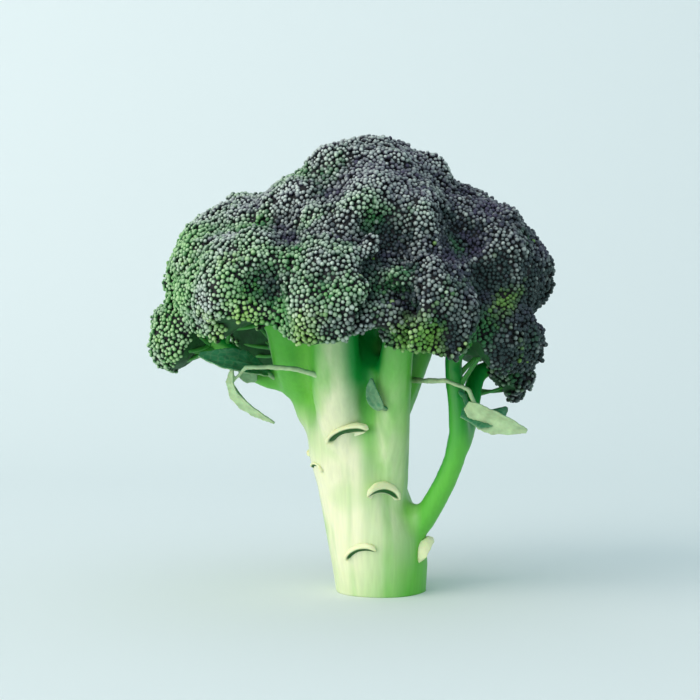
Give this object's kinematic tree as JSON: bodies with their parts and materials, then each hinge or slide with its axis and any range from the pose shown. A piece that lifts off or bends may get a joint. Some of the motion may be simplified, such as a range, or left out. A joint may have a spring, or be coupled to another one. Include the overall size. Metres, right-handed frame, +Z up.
{
  "type": "broccoli head",
  "caption": "Broccoli head standing on its cut stalk, with branches spreading into a domed crown of florets and a few small leaves and leaf stubs left on.",
  "frame": {"origin": "centre of the flat cut face at the foot of the stalk", "axes": "+Z up along the stalk towards the crown, -Y towards the front, where the slender low branch is on the right (+X)"},
  "size_m": [0.158, 0.142, 0.1781],
  "materials": {
    "stalk": "pale waxy skin, slightly glossy",
    "branch": "pale green waxy skin, slightly glossy",
    "floret": "matt, finely beaded with closed buds",
    "stub": "pale cut flesh, slightly glossy",
    "leaf": "thin, matt green"
  },
  "bodies": {
    "root": {"stalk": "stalk", "branch_front_left": "branch", "branch_front_far_left": "branch", "branch_front_right": "branch", "branch_front_upper": "branch", "branch_right": "branch", "branch_right_low": "branch", "branch_left": "branch", "branch_left_low": "branch", "branch_top": "branch", "branch_upper_left": "branch", "branch_upper_right": "branch", "branch_right_lowest": "branch", "branch_back_upper": "branch", "branch_back_left": "branch", "branch_back_right": "branch", "branch_back_low": "branch", "branch_back_left_low": "branch", "floret_front_left": "floret", "floret_front_far_left": "floret", "floret_front_right": "floret", "floret_front_upper": "floret", "floret_right": "floret", "floret_right_low": "floret", "floret_left": "floret", "floret_left_low": "floret", "floret_top": "floret", "floret_upper_left": "floret", "floret_upper_right": "floret", "floret_right_lowest": "floret", "floret_back_upper": "floret", "floret_back_left": "floret", "floret_back_right": "floret", "floret_back_low": "floret", "floret_back_left_low": "floret", "stub_front_upper": "stub", "stub_front_middle": "stub", "stub_front_lower": "stub", "stub_left_middle": "stub", "stub_right_lower": "stub", "stub_back_lower": "stub", "stub_back_upper": "stub", "leaf_right_pale": "leaf", "leaf_right_curled": "leaf", "leaf_left_drooping": "leaf", "leaf_left_broad": "leaf", "leaf_left_bract": "leaf", "leaf_front_bract": "leaf"}
  },
  "joints": []
}
